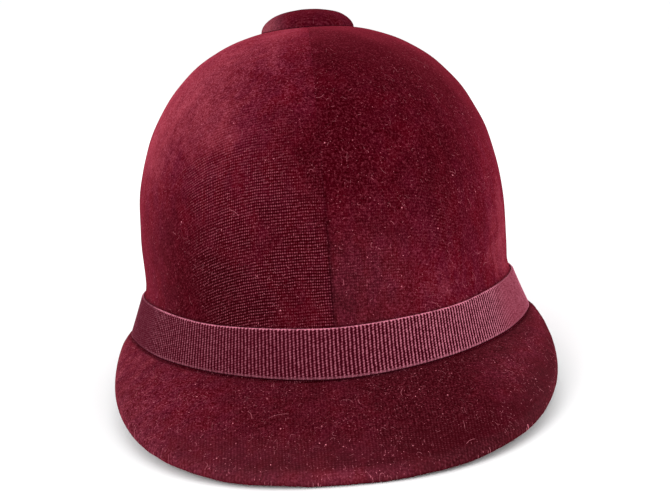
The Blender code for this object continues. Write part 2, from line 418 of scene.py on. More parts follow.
def join_skins(name, outer, inner, outer_maps):
    """One closed piece from a fine outer skin and a plainer inner one with the same columns."""
    columns, rows = outer.shape[:2]
    inner_rows = inner.shape[1]
    first = columns * rows
    out = np.arange(first).reshape(columns, rows).tolist()
    within = (first + np.arange(columns * inner_rows)).reshape(columns, inner_rows).tolist()
    faces = grid_faces(columns, rows)
    faces += [face[::-1] for face in grid_faces(columns, inner_rows, first)]
    for a in range(columns - 1):
        b = a + 1
        faces.append([out[a][0], within[a][0], within[b][0], out[b][0]])
        faces.append([out[b][-1], within[b][-1], within[a][-1], out[a][-1]])
    marks = spaced_rows(rows, inner_rows)
    for column, flip in ((0, False), (-1, True)):
        for k in range(inner_rows - 1):
            side = out[column][marks[k] : marks[k + 1] + 1]
            fan = [within[column][k], *side, within[column][k + 1]]
            faces.append(fan if flip else fan[::-1])
    points = np.concatenate([outer.reshape(-1, 3), inner.reshape(-1, 3)])
    maps = {
        key: np.concatenate([values.reshape(-1), values[:, marks].reshape(-1)])
        for key, values in outer_maps.items()
    }
    return make_piece(name, points, faces, maps)


# The grosgrain ribbon

RIB_PITCH = 0.00177
RIB_POINTS = 8
RIB_DEPTH = 0.00022
RIB_SHARPNESS = 1.5
RIBBON_ROWS = 15
RIBBON_STEPS = 2881
RIBBON_BACK_SHARES = (1, 0.5, 0)
SELVEDGE = 0.0009
SELVEDGE_BEAD = 0.00007
EDGE_WIDTH = 0.00022
EDGE_ROUND = 0.45

# How far a rib leans aside, in ribs, and the radians of that slow wave over the ribbon's width
RIB_LEAN = 0.08
RIB_BEND = 4.0
RIB_BEND_START = 0.1

# The top edge stands off a little here and there
LIFT = 0.00018
LIFT_WAVES = 7
LIFT_START = 0.6
LIFT_SHARES = (0.4, 1.0)


def ribbon_angles():
    """Angles from the back round the helmet, evenly spaced along a whole number of ribs."""
    coarse = np.linspace(-math.pi, math.pi, RIBBON_STEPS)
    middle = (round_value("ribbon", coarse) + ribbon_bottom(coarse)) / 2
    line = skirt_point(coarse, middle, GAP)
    length = np.concatenate([[0], np.cumsum(np.linalg.norm(np.diff(line, axis=0), axis=1))])
    ribs = round(length[-1] / RIB_PITCH)
    along = np.arange(ribs * RIB_POINTS) / (ribs * RIB_POINTS) * length[-1]
    return np.interp(along, length, coarse)


def make_ribbon():
    """A closed band with upright ribs on its face and a firm selvedge along both edges."""
    angle = ribbon_angles()
    count = len(angle)
    top = ribbon_top(angle)[:, None]
    width = top - ribbon_bottom(angle)[:, None]
    even = np.linspace(0, 1, RIBBON_ROWS)
    share = (smooth_step(0, 1, even) + even) / 2
    drop = width * (1 - share)
    from_edge = np.minimum(drop, width - drop)
    ribbed = smooth_step(0.0, SELVEDGE, from_edge)
    lean = RIB_LEAN * np.sin(RIB_BEND * (share + RIB_BEND_START))
    turn = 2 * math.pi * ((np.arange(count) / RIB_POINTS)[:, None] + lean)
    rib = RIB_DEPTH * (((1 + np.cos(turn)) / 2) ** RIB_SHARPNESS - 1)
    edge = EDGE_ROUND * RIBBON_THICKNESS * bell(from_edge / EDGE_WIDTH)
    lift = LIFT * np.sin(angle * LIFT_WAVES + LIFT_START)[:, None] * smooth_step(*LIFT_SHARES, share)
    outset = GAP + RIBBON_THICKNESS + ribbed * rib - edge + np.abs(lift)
    beads = (1 - ribbed) * SELVEDGE_BEAD * np.cos(2 * turn) * np.sign(share - 0.5)
    face = skirt_point(wide_grid(angle, RIBBON_ROWS), top - drop + beads, outset)
    back_shares = np.array(RIBBON_BACK_SHARES)
    back = skirt_point(wide_grid(angle, len(back_shares)), top - width * back_shares, GAP)
    ring = np.concatenate([face, back[:, ::-1]], axis=1)
    rows = ring.shape[1]
    faces = []
    corner_ribs = []
    for column in range(count):
        left, right = column * rows, (column + 1) % count * rows
        here, there = column / RIB_POINTS, (column + 1) / RIB_POINTS
        for row in range(rows):
            above = (row + 1) % rows
            faces.append([left + row, right + row, right + above, left + above])
            corner_ribs += [here, there, there, here]
    up = np.tile(np.concatenate([share, back_shares]), (count, 1))
    piece = make_piece("ribbon_cloth", ring, faces, {"up": up})
    set_map(piece, "ribs", corner_ribs, "CORNER")
    return piece


# The button

BUTTON_COLUMNS = 144
BUTTON_TOP_ROWS = 44
BUTTON_TIP = 0.00002

# Pleats where the cloth is drawn in under the rim
PLEATS = 24
PLEAT_DEPTH = 0.00022
PLEAT_CREST = 0.00008
PLEAT_SINK = 0.00006
PLEAT_CLIMB = 0.35
PLEAT_STRAY = 0.8
PLEAT_STRAYS = 3

# Rings of the underside: how far in from the rim, and how closely each follows the dome below it
UNDER_SHARES = (0.985, 0.75, 0.5, 0.25)
UNDER_SEATING = (0.1, 0.4, 0.75, 0.95)
SEATING_CLIMB = 0.75
BUTTON_WAVES = (0.00010, 31, 0.012)


def dome_drop(x, y):
    """How far the dome has fallen below its apex at each place."""
    reach = np.where(y < WIDEST_Y, FRONT_REACH, BACK_REACH)
    scale = np.hypot(x / HALF_WIDTH, (y - WIDEST_Y) / reach)
    return DOME_RISE * (1 - (1 - scale**FULLNESS) ** (1 / FULLNESS))


def make_cushion():
    """The covered button: a flat cushion whose cloth is drawn in under its rim."""
    angle = 2 * math.pi * np.arange(BUTTON_COLUMNS) / BUTTON_COLUMNS
    climb = np.linspace(0, math.pi / 2, BUTTON_TOP_ROWS)
    folds = np.cos(angle * PLEATS + PLEAT_STRAY * np.sin(PLEAT_STRAYS * angle))
    pleat = PLEAT_DEPTH * folds[:, None] * bell(climb / PLEAT_CLIMB)
    radius = BUTTON_RADIUS * np.cos(climb) + np.minimum(pleat, PLEAT_CREST) - PLEAT_SINK
    radius[:, -1] = BUTTON_TIP
    height = BUTTON_HEIGHT * np.sin(climb) - BUTTON_HOLLOW
    outward = 1 - np.array(UNDER_SHARES)
    rings = np.concatenate([np.tile(BUTTON_RADIUS * outward, (BUTTON_COLUMNS, 1)), radius], axis=1)
    heights = np.concatenate([-BUTTON_HOLLOW * outward**2, height])
    x = rings * np.sin(angle)[:, None]
    y = WIDEST_Y - rings * np.cos(angle)[:, None]
    seating = np.concatenate([UNDER_SEATING, bell(climb / SEATING_CLIMB)])
    z = WIDEST_Z + DOME_RISE + GAP + heights
    z = z - seating * np.maximum(dome_drop(x, y) - BUTTON_HOLLOW + GAP / 2, 0)
    points = np.stack([x, y, z], axis=-1)
    top = points[:, len(UNDER_SHARES) :]
    top[..., 2] += soft_waves(top, *BUTTON_WAVES) * np.sin(climb)
    rows = points.shape[1]
    faces = grid_faces(BUTTON_COLUMNS, rows, closed=True)
    count = BUTTON_COLUMNS * rows
    faces.append(list(range(0, count, rows))[::-1])
    faces.append(list(range(rows - 1, count, rows)))
    maps = {"weft": points[..., 1], "turn": wide_grid(angle, rows)}
    return make_piece("button_cushion", points, faces, maps)


# The peak

PEAK_COLUMNS = 361
PEAK_TOP_ROWS = 58
PEAK_EDGE_ROWS = 14
PEAK_UNDER_ROWS = 20
ROOT_CROWDING = 1.25
ROOT_DIP = 0.0007
ROOT_SHADE = 0.0016

# Slight waves by height, seed and size, none near the root or the ends, and how far the peak sinks there
PEAK_WAVES = (0.00022, 5, 0.034)
PEAK_RIPPLES = (0.00007, 6, 0.011)
PEAK_SINK = 0.00012
CLEAR_OF_ROOT = (0.08, 0.3)
CLEAR_OF_ENDS = (0, 0.05)


def signed_power(value, power):
    return np.sign(value) * np.abs(value) ** power


def peak_edge(angle):
    """The top of the peak's outer edge."""
    turn = angle * PEAK_EDGE_SPAN / PEAK_SPAN
    power = 2 / PEAK_SQUARENESS
    x = PEAK_HALF_WIDTH * signed_power(np.sin(turn), power)
    cosine = signed_power(np.cos(turn), power)
    y = PEAK_CENTRE_Y - np.where(cosine > 0, PEAK_REACH, PEAK_BACK_REACH) * cosine
    return np.stack([x, y, PEAK_EDGE_Z + PEAK_EDGE_FALL * y], axis=-1)


def peak_point(angle, share, depth):
    """Points of the peak, depth below its upper face. share runs from 0 at the root to 1 at the edge."""
    root = skirt_point(angle, ribbon_bottom(angle) - GAP - depth, GAP)
    edge = peak_edge(angle)
    edge[..., 2] -= depth
    point = root + share[..., None] * (edge - root)
    camber = PEAK_CAMBER * np.linalg.norm(edge - root, axis=-1) / PEAK_LENGTH
    point[..., 2] += camber * 4 * share * (1 - share)
    return point


def make_peak():
    """The peak: upper face, a full round edge and the plain underside, as one closed plate."""
    angle = np.radians(PEAK_SPAN) * np.linspace(-1, 1, PEAK_COLUMNS)
    half = PEAK_THICKNESS / 2
    root = peak_point(angle, np.zeros(PEAK_COLUMNS), 0.0)
    width = np.linalg.norm(peak_edge(angle) - root, axis=-1)[:, None]
    end = 1 - half / width
    top_share = np.linspace(0, 1, PEAK_TOP_ROWS) ** ROOT_CROWDING
    turn = np.linspace(0, math.pi, PEAK_EDGE_ROWS + 2)[1:-1]
    under_share = np.linspace(1, 0, PEAK_UNDER_ROWS)
    share = np.concatenate([end * top_share, end + (1 - end) * np.sin(turn), end * under_share], axis=1)
    top_depth = np.zeros(PEAK_TOP_ROWS)
    under_depth = np.full(PEAK_UNDER_ROWS, PEAK_THICKNESS)
    depth = np.concatenate([top_depth, half * (1 - np.cos(turn)), under_depth])
    wide = wide_grid(angle, share.shape[1])
    points = peak_point(wide, share, np.tile(depth, (PEAK_COLUMNS, 1)))
    from_end = 1 - np.abs(wide) / np.radians(PEAK_SPAN)
    free = smooth_step(*CLEAR_OF_ROOT, share) * smooth_step(*CLEAR_OF_ENDS, from_end)
    waves = soft_waves(points, *PEAK_WAVES) + soft_waves(points, *PEAK_RIPPLES)
    points[..., 2] += free * (waves - PEAK_SINK)
    # Painted shade along the root, where the peak tucks under the ribbon
    by_root = bell(share * width / ROOT_SHADE)
    points[:, :PEAK_TOP_ROWS, 2] -= ROOT_DIP * by_root[:, :PEAK_TOP_ROWS]
    round_edge = np.tile(1 + turn / math.pi, (PEAK_COLUMNS, 1))
    edge = [share[:, :PEAK_TOP_ROWS], round_edge, 3 - share[:, -PEAK_UNDER_ROWS:]]
    maps = {"edge": np.concatenate(edge, axis=1), "turn": wide, "seam_shade": by_root}
    return make_piece("peak_cover", points, peak_faces(points.shape[1]), maps)


def peak_faces(rows):
    """Faces of the peak: its skin, the strip along its root, and its two ends."""
    faces = grid_faces(PEAK_COLUMNS, rows)
    for column in range(PEAK_COLUMNS - 1):
        a, b = column * rows, (column + 1) * rows
        faces.append([a, a + rows - 1, b + rows - 1, b])
    marks = [round(m) for m in np.linspace(0, PEAK_TOP_ROWS - 1, PEAK_UNDER_ROWS)]
    for start, flip in ((0, False), ((PEAK_COLUMNS - 1) * rows, True)):
        ends = []
        for k in range(PEAK_UNDER_ROWS - 1):
            lower = start + rows - 1 - k
            ends.append([lower, lower - 1, *range(start + marks[k + 1], start + marks[k] - 1, -1)])
        first = start + PEAK_TOP_ROWS - 1
        ends.append(list(range(first, first + PEAK_EDGE_ROWS + 2)))
        faces += ends if flip else [face[::-1] for face in ends]
    return faces


# Shader nodes


def new_material(name):
    made = bpy.data.materials.new(name)
    made.use_nodes = True
    tree = made.node_tree
    return made, tree, tree.nodes["Principled BSDF"]


def is_socket(value):
    return isinstance(value, bpy.types.NodeSocket)


def node(kind, inputs, tree=None, **settings):
    """A shader node with its settings, and its inputs set to values or linked to sockets.

    It goes into the tree that those sockets belong to, unless another is given.
    """
    tree = tree or next(value.id_data for value in inputs.values() if is_socket(value))
    made = tree.nodes.new("ShaderNode" + kind)
    for key, value in settings.items():
        setattr(made, key, value)
    for key, value in inputs.items():
        if is_socket(value):
            tree.links.new(value, made.inputs[key])
        else:
            made.inputs[key].default_value = value
    return made


def math_node(operation, *values, clamp=False):
    return node("Math", dict(enumerate(values)), operation=operation, use_clamp=clamp).outputs[0]


def vector_node(operation, *values):
    return node("VectorMath", dict(enumerate(values)), operation=operation).outputs[0]


def plus(*values):
    return reduce(lambda first, second: math_node("ADD", first, second), values)


def times(*values):
    return reduce(lambda first, second: math_node("MULTIPLY", first, second), values)


def minus(first, second):
    return math_node("SUBTRACT", first, second)


def attribute(tree, name):
    return node("Attribute", {}, tree, attribute_name=name).outputs["Fac"]


def object_place(tree):
    return node("TexCoord", {}, tree).outputs["Object"]


def split(vector):
    return node("SeparateXYZ", {"Vector": vector}).outputs


def vector_of(x, y):
    return node("CombineXYZ", {"X": x, "Y": y}).outputs[0]


def noise(vector, size, detail=2.0, roughness=0.5):
    """Noise between 0 and 1 whose features are about size across."""
    inputs = {"Vector": vector, "Scale": 1 / size, "Detail": detail, "Roughness": roughness}
    return node("TexNoise", inputs).outputs["Fac"]


def between(value, low, high, to_low=0.0, to_high=1.0):
    """A smooth ramp from to_low to to_high as the value goes from low to high."""
    inputs = {"Value": value, "From Min": low, "From Max": high, "To Min": to_low, "To Max": to_high}
    return node("MapRange", inputs, interpolation_type="SMOOTHSTEP").outputs[0]


def ramp(value, low, high):
    """A straight ramp from 0 to 1 as the value goes from low to high."""
    return node("MapRange", {"Value": value, "From Min": low, "From Max": high}).outputs[0]


def blend(share, first, second):
    """A straight blend from the first number to the second as the share goes from 0 to 1."""
    return node("MapRange", {"Value": share, "To Min": first, "To Max": second}).outputs[0]


def mix(share, *colours):
    """A blend from the first colour to the second as the share goes from 0 to 1."""
    first, second = (colour if is_socket(colour) else (*colour, 1.0) for colour in colours)
    return node("Mix", {0: share, 6: first, 7: second}, data_type="RGBA").outputs[2]


def wave_of(value, pitch):
    """A sine of this pitch, between -1 and 1."""
    return math_node("SINE", times(value, 2 * math.pi / pitch))


def finish_material(tree, shader, colour, settings, relief=None, bump=(0.0, 0.0)):
    """Gives the shader its colour and settings, and a relief by the bump's strength and depth."""
    tree.links.new(colour, shader.inputs["Base Color"])
    for key, value in settings.items():
        shader.inputs[key].default_value = value
    if relief is not None:
        strength, depth = bump
        made = node("Bump", {"Height": relief, "Strength": strength, "Distance": depth})
        tree.links.new(made.outputs[0], shader.inputs["Normal"])


# Soft random patterns: the noise's size, detail and roughness, the stretch of it that counts, and the
# values that this is spread between
CLOUDS = {
    "patches": (0.0300, 3.0, 0.55, 0.25, 0.75, -0.07, 0.07),
    "mottle": (0.0075, 2.0, 0.60, 0.30, 0.70, -0.07, 0.07),
    "hue": (0.0090, 3.0, 0.60, 0.38, 0.62, 0.0, 1.0),
    "worn_rows": (0.0220, 1.0, 0.50, 0.36, 0.56, 0.45, 1.0),
    "lint": (0.0180, 2.0, 0.50, 0.40, 0.66, 0.25, 1.0),
    "stray": (0.0030, 2.0, 0.50, 0.20, 0.80, -0.05, 0.05),
    "fray": (0.0010, 1.0, 0.50, 0.30, 0.70, -0.06, 0.06),
    "beads": (0.0011, 1.0, 0.50, 0.30, 0.70, -0.30, 0.30),
    "worn_ribs": (0.0009, 2.0, 0.70, 0.35, 0.65, 0.75, 0.97),
    "dots": (0.0013, 1.0, 0.50, 0.35, 0.60, 0.35, 1.0),
}


def cloud(place, name):
    """One of the soft random patterns in CLOUDS."""
    size, detail, roughness, *spread = CLOUDS[name]
    return between(noise(place, size, detail, roughness), *spread)


# Velvet: colours, linear. The deep, middle, plum and light ones follow the nap map, which holds painted
# sheen and painted shade as well as the nap's own patches
VELVET_DEEP = (0.036, 0.0002, 0.0024)
VELVET_MIDDLE = (0.088, 0.0012, 0.0064)
VELVET_PLUM = (0.085, 0.0030, 0.0125)
VELVET_LIGHT = (0.265, 0.0360, 0.0550)
VELVET_THREAD = (0.222, 0.0500, 0.0710)
VELVET_PALE = (0.360, 0.0780, 0.1120)
VELVET_GLINT = (0.128, 0.0160, 0.0270)
VELVET_GLOW = (0.222, 0.0360, 0.0640)
SUNKEN_TINT = (0.45, 0.12, 0.24)
# Painted shade for the seams, the ribbon's top edge and the peak's root
SEAM_SHADE_COLOUR = (0.010, 0.0003, 0.0012)
LINT_COLOUR = (0.72, 0.21, 0.27)
# Dust, and a painted sheen where the light catches the button's side and the peak's front edge
DUST_AND_SHEEN_COLOUR = (0.20, 0.085, 0.105)

# Velvet: the weave that shows through the nap. A wander is how far a row or column strays, and over
# what size. The ramps say where on its wave a thread is lit or sunk, and how it breaks into dashes
ROW_PITCH = 0.00133
ROW_WANDER = (0.0012, 0.009)
COLUMN_PITCH = 0.00102
COLUMN_WANDER = (0.0016, 0.011)
COLUMN_SHARE = 0.7
DASH_LENGTH = 0.0012
THREAD_LIT = (0.3, 1.5)
THREAD_SUNK = (0.4, -0.8)
DASH_LIT = (0.38, 0.62, 0.1, 1.25)
DASH_SHADE = (0.35, 0.6, 0.75, 0.35)

# Velvet: its nap, which carries painted sheen and painted shade, its grain, and how much the rows calm the
# grain
STREAKS = (1.0, 1.0, 0.45)
GRAIN = (0.0010, 3.0, 0.85)
GRAIN_RISEN = (0.50, 0.69)
GRAIN_SUNKEN = (0.50, 0.32)
MIDDLE_NAP = (0.0, 0.5)
LIGHT_NAP = (0.5, 1.0)
GLOW_NAP = (0.1, 0.6)
PALE_NAP = (0.5, 0.95)
ROWS_CALM = 0.55
VELVET_BUMP = (0.5, 0.00016)

# Lint: where its pattern starts, the cell that holds one fibre, its length and width, its strength
LINT = (
    (0.0, 0.0044, 0.0012, 0.00011, 0.40),
    (0.31, 0.0130, 0.0034, 0.00010, 0.50),
    (0.53, 0.0021, 0.00018, 0.00022, 0.60),
    (0.77, 0.0090, 0.00030, 0.00034, 0.95),
    (1.13, 0.0420, 0.0110, 0.00011, 0.45),
)
LINT_SLANT = 0.7
FIBRE_BEND = 1.6
FIBRE_CORE = 0.35
FIBRE_SHORTEST = 0.35
FIBRE_FAINTEST = 0.25
FIBRE_TONES = 7.0


def fibres(place, cell, length, width, share):
    """Scattered short curved fibres, one to a cell at most, as a value from 0 to 1."""
    inputs = {"Vector": place, "Scale": 1 / cell, "Randomness": 1.0}
    cells = node("TexVoronoi", inputs, voronoi_dimensions="2D", feature="F1")
    local = vector_node("SUBTRACT", place, cells.outputs["Position"])
    chance = node("SeparateColor", {"Color": cells.outputs["Color"]}).outputs
    inputs = {"Vector": local, "Angle": times(chance["Red"], 2 * math.pi)}
    turned = node("VectorRotate", inputs, rotation_type="Z_AXIS").outputs[0]
    along, aside, _ = split(turned)
    bend = times(minus(chance["Green"], 0.5), FIBRE_BEND / length)
    curve = times(bend, times(along, along))
    off = math_node("ABSOLUTE", minus(aside, curve))
    thin = between(off, width * FIBRE_CORE, width, 1.0, 0.0)
    reach = times(plus(chance["Green"], FIBRE_SHORTEST), length / (1 + FIBRE_SHORTEST))
    short = math_node("LESS_THAN", math_node("ABSOLUTE", along), reach)
    there = math_node("LESS_THAN", chance["Blue"], share)
    tone = math_node("FRACT", times(chance["Red"], FIBRE_TONES))
    return times(thin, short, there, between(tone, 0, 1, FIBRE_FAINTEST, 1.0))


def woven_rows(place, flat):
    """The weave under the nap: a value that is highest on its threads, and noise in dashes along them."""
    across, up, _ = split(flat)
    stray, size = ROW_WANDER
    height = plus(up, times(noise(place, size), stray))
    stray, size = COLUMN_WANDER
    aside = plus(across, times(noise(place, size), stray))
    column = times(wave_of(aside, COLUMN_PITCH), COLUMN_SHARE)
    thread = plus(column, wave_of(height, ROW_PITCH))
    dash_across = times(across, 1 / DASH_LENGTH)
    dash_up = times(height, 1 / ROW_PITCH)
    return thread, noise(vector_of(dash_across, dash_up), 1.0, 1.0)


def velvet_material(name, rows, lint, sheen, flat_place):
    """Velvet: a soft nap that lies in patches with painted sheen and painted shade, woven rows showing
    through it, grain, lint and painted shade at the seams.

    rows, lint and sheen say how strong those are. flat_place gives the cloth's own flat coordinates.
    """
    made, tree, shader = new_material(name)
    place = object_place(tree)
    flat = flat_place(tree)

    # The nap map: the nap's own patches together with painted sheen where the light catches the velvet and
    # painted shade where it falls away
    nap_sheen_and_shade = plus(cloud(place, "patches"), cloud(place, "mottle"), attribute(tree, "nap_sheen_and_shade"))
    hue = cloud(vector_node("MULTIPLY", place, STREAKS), "hue")
    middle = mix(hue, VELVET_MIDDLE, VELVET_PLUM)
    colour = mix(ramp(nap_sheen_and_shade, *MIDDLE_NAP), VELVET_DEEP, middle)
    colour = mix(ramp(nap_sheen_and_shade, *LIGHT_NAP), colour, VELVET_LIGHT)
    dark = vector_node("MULTIPLY", colour, SUNKEN_TINT)
    # Dust, and painted sheen where the light catches the button's side and the peak's front edge
    colour = mix(attribute(tree, "dust_and_sheen"), colour, DUST_AND_SHEEN_COLOUR)

    thread, dashes = woven_rows(place, flat)
    shown = times(attribute(tree, "rows"), rows, cloud(place, "worn_rows"))
    lit = times(between(thread, *THREAD_LIT), between(dashes, *DASH_LIT))
    sunk = between(thread, *THREAD_SUNK)
    colour = mix(times(sunk, shown), colour, dark)
    colour = mix(math_node("MULTIPLY", lit, shown, clamp=True), colour, VELVET_THREAD)

    grain = noise(place, *GRAIN)
    fuzz = times(attribute(tree, "fuzz"), minus(1.0, times(shown, ROWS_CALM)))
    glint = mix(ramp(nap_sheen_and_shade, *GLOW_NAP), VELVET_GLINT, VELVET_GLOW)
    glint = mix(ramp(nap_sheen_and_shade, *PALE_NAP), glint, VELVET_PALE)
    colour = mix(times(between(grain, *GRAIN_RISEN), fuzz), colour, glint)
    colour = mix(times(between(grain, *GRAIN_SUNKEN), fuzz), colour, dark)
    # Painted shade in the seams, along the ribbon's top edge and at the peak's root
    shade = times(attribute(tree, "seam_shade"), between(dashes, *DASH_SHADE))
    colour = mix(shade, colour, SEAM_SHADE_COLOUR)

    scattered = times(cloud(place, "lint"), lint)
    for offset, cell, length, width, strength in LINT:
        moved = vector_node("ADD", flat, (offset, LINT_SLANT * offset, 0.0))
        shown_fibres = times(fibres(moved, cell, length, width, scattered), strength)
        colour = mix(shown_fibres, colour, LINT_COLOUR)

    settings = {
        "Roughness": 0.95,
        "Specular IOR Level": 0.0,
        "Sheen Weight": sheen,
        "Sheen Roughness": 0.36,
        "Sheen Tint": (1.0, 0.09, 0.16, 1.0),
    }
    relief = plus(times(thread, shown), grain)
    finish_material(tree, shader, colour, settings, relief, VELVET_BUMP)
    return made


def wall_place(tree):
    """Flat coordinates on a quarter: round the helmet, and up the cloth."""
    turn = times(attribute(tree, "turn"), HALF_WIDTH)
    return vector_of(turn, attribute(tree, "weft"))


def peak_place(tree):
    """Flat coordinates on the peak, seen from above, with its woven rows running front to back."""
    x, y, _ = split(object_place(tree))
    return vector_of(y, x)


# Grosgrain: colours, linear. The light ones are painted highlights on the ribs' ridges, the deep one
# painted shade in the grooves and along the lower edge, and the plain ones colour the worn ends, the pale
# one where the painted shine is full
RIBBON_GROOVE_SHADE = (0.031, 0.0010, 0.0038)
RIBBON_MIDDLE = (0.092, 0.0095, 0.0195)
RIBBON_WARM = (0.118, 0.0140, 0.0280)
RIBBON_RIDGE_HIGHLIGHT = (0.255, 0.0760, 0.1060)
RIBBON_SHINE_HIGHLIGHT = (0.480, 0.1480, 0.2100)
RIBBON_FADED = (0.072, 0.0075, 0.0160)
RIBBON_PALE = (0.225, 0.0310, 0.0540)
SELVEDGE_COLOUR = (0.62, 0.190, 0.270)

# Grosgrain: the picks across its ribs, and the ramps from groove to rib and from rib to ridge, each
# without and with the painted shine
PICK_PITCH = 0.00108
PICK_STRENGTH = 0.36
PICK_STEP = 0.5
PICK_RELIEF = 0.5
GROOVE_START = (-0.75, -0.40)
GROOVE_END = (0.25, 0.40)
RIDGE_START = (0.45, 0.10)
RIDGE_END = (1.30, 0.95)

# Grosgrain: the firm edges, as shares of the width up the ribbon, with painted shade along the lower edge
PALE_HEM = (0.078, 0.060)
PALE_HEM_STRENGTH = 0.55
HEM_SHADE = (0.036, 0.020)
PALE_TOP = (0.974, 0.992)
TOP_ZIGZAG = 0.007
RIBBON_RELIEF_SIZE = 0.0005
RIBBON_BUMP = (0.5, 0.00008)
RIBBON_SETTINGS = {
    "Roughness": 0.65,
    "Specular IOR Level": 0.0,
    "Sheen Weight": 0.04,
    "Sheen Roughness": 0.4,
    "Sheen Tint": (1.0, 0.15, 0.26, 1.0),
}


def grosgrain_material(name):
    """Grosgrain: ribs with painted highlights on their ridges and painted shade in their grooves, broken by
    the picks, between two firm edges, with painted shade along the lower one.
    """
    made, tree, shader = new_material(name)
    place = object_place(tree)
    ribs = attribute(tree, "ribs")
    up = attribute(tree, "up")
    painted_shine = attribute(tree, "painted_shine")

    lean = times(wave_of(plus(up, RIB_BEND_START), 2 * math.pi / RIB_BEND), RIB_LEAN)
    stray = plus(cloud(place, "stray"), cloud(place, "fray"))
    ridge = math_node("COSINE", times(plus(ribs, lean, stray), 2 * math.pi))
    slant = times(ribs, PICK_STEP * PICK_PITCH)
    picks = wave_of(minus(times(up, RIBBON_DROP), slant), PICK_PITCH)
    beads = plus(times(picks, PICK_STRENGTH), cloud(place, "beads"))
    thread = plus(ridge, times(beads, attribute(tree, "beaded")))

    def by_shine(pair):
        return blend(painted_shine, *pair)

    # Painted shine: a painted highlight that makes the ribbon lighter round towards +X
    light = mix(painted_shine, RIBBON_RIDGE_HIGHLIGHT, RIBBON_SHINE_HIGHLIGHT)
    middle = mix(painted_shine, RIBBON_MIDDLE, RIBBON_WARM)
    plain = mix(painted_shine, RIBBON_FADED, RIBBON_PALE)
    # Painted shade in the grooves and painted highlights on the ridges
    out_of_groove = between(thread, by_shine(GROOVE_START), by_shine(GROOVE_END))
    on_ridge = between(thread, by_shine(RIDGE_START), by_shine(RIDGE_END))
    colour = mix(out_of_groove, RIBBON_GROOVE_SHADE, middle)
    colour = mix(on_ridge, colour, light)
    faded = times(attribute(tree, "faded"), cloud(place, "worn_ribs"))
    colour = mix(faded, colour, plain)

    dots = times(cloud(place, "dots"), attribute(tree, "pale"))
    hem = times(between(up, *PALE_HEM), times(dots, PALE_HEM_STRENGTH))
    colour = mix(hem, colour, light)
    # Painted shade along the ribbon's lower edge, where it meets the peak
    colour = mix(between(up, *HEM_SHADE), colour, RIBBON_GROOVE_SHADE)
    zigzag = plus(up, times(ridge, TOP_ZIGZAG))
    colour = mix(times(between(zigzag, *PALE_TOP), dots), colour, SELVEDGE_COLOUR)

    relief = plus(times(picks, PICK_RELIEF), noise(place, RIBBON_RELIEF_SIZE))
    finish_material(tree, shader, colour, RIBBON_SETTINGS, relief, RIBBON_BUMP)
    return made


# Shell and floor: two tones, linear, and the noise between them; the shell's relief, and its bump
SHELL_TONES = ((0.020, 0.017, 0.016), (0.045, 0.038, 0.036))
SHELL_MOTTLE = (0.006, 4.0, 0.6)
SHELL_RELIEF = (0.0012, 3.0)
SHELL_BUMP = (0.3, 0.0002)
FLOOR_TONES = ((0.955, 0.955, 0.96), (0.97, 0.97, 0.975))
FLOOR_MOTTLE = (0.4, 2.0)


def shell_material(name):
    """The hard shell's plain dark inner face, with the faint mottle of a moulded surface."""
    made, tree, shader = new_material(name)
    place = object_place(tree)
    colour = mix(noise(place, *SHELL_MOTTLE), *SHELL_TONES)
    relief = noise(place, *SHELL_RELIEF)
    finish_material(tree, shader, colour, {"Roughness": 0.68}, relief, SHELL_BUMP)
    return made


def floor_material(name):
    made, tree, shader = new_material(name)
    colour = mix(noise(object_place(tree), *FLOOR_MOTTLE), *FLOOR_TONES)
    finish_material(tree, shader, colour, {"Roughness": 0.9, "Specular IOR Level": 0.1})
    return made


# Paint: values of each vertex that the materials read. A row of a paint table is an amount and the
# ramps that let it in: what each measures, where it starts and where it is full


def painted(rows, measures):
    """The sum of the rows' amounts, each times its ramps."""
    total = np.zeros(len(next(iter(measures.values()))))
    for amount, *ramps in rows:
        share = amount
        for measure, start, full in ramps:
            share = share * smooth_step(start, full, measures[measure])
        total += share
    return total


def paint(piece, table, measures):
    for key, rows in table.items():
        set_map(piece, key, painted(rows, measures))


# Where the cover's nap lies lighter or darker, together with painted sheen where the light catches it and
# painted shade
# where it falls away: angle from the centre front and height in the helmet's frame, how far the patch
# reaches in degrees and metres, and how much lighter it is
NAP_SHEEN_AND_SHADE_PATCHES = (
    (-84, 0.116, 40, 0.035, 0.56),
    (-34, 0.108, 22, 0.030, 0.32),
    (-26, 0.113, 12, 0.014, -0.20),
    (-36, 0.084, 13, 0.016, 0.12),
    (-28, 0.012, 14, 0.024, -0.12),
    (8, 0.076, 9, 0.028, -0.14),
    (-66, 0.078, 18, 0.030, 0.36),
    (-32, 0.082, 14, 0.020, 0.14),
    (-2, 0.074, 8, 0.026, -0.16),
    (-38, 0.008, 18, 0.016, -0.14),
    (-46, 0.018, 14, 0.030, -0.18),
    (-60, 0.006, 12, 0.020, 0.20),
    (-8, 0.075, 8, 0.010, -0.12),
    (12, 0.014, 14, 0.022, 0.06),
    (-96, 0.030, 22, 0.060, 0.30),
    (63, 0.020, 13, 0.028, 0.40),
    (88, 0.030, 28, 0.050, 0.24),
    (112, 0.030, 44, 0.060, 0.14),
    (58, 0.060, 12, 0.030, 0.10),
    (34, 0.010, 16, 0.022, 0.34),
    (20, 0.038, 14, 0.018, 0.08),
    (55, 0.110, 24, 0.032, -0.16),
    (16, 0.085, 22, 0.040, -0.06),
    (40, 0.130, 44, 0.018, -0.28),
    (-24, 0.131, 22, 0.016, 0.26),
    (150, 0.060, 26, 0.045, 0.14),
    (-135, 0.090, 28, 0.036, 0.16),
    (-165, 0.030, 22, 0.030, -0.06),
)


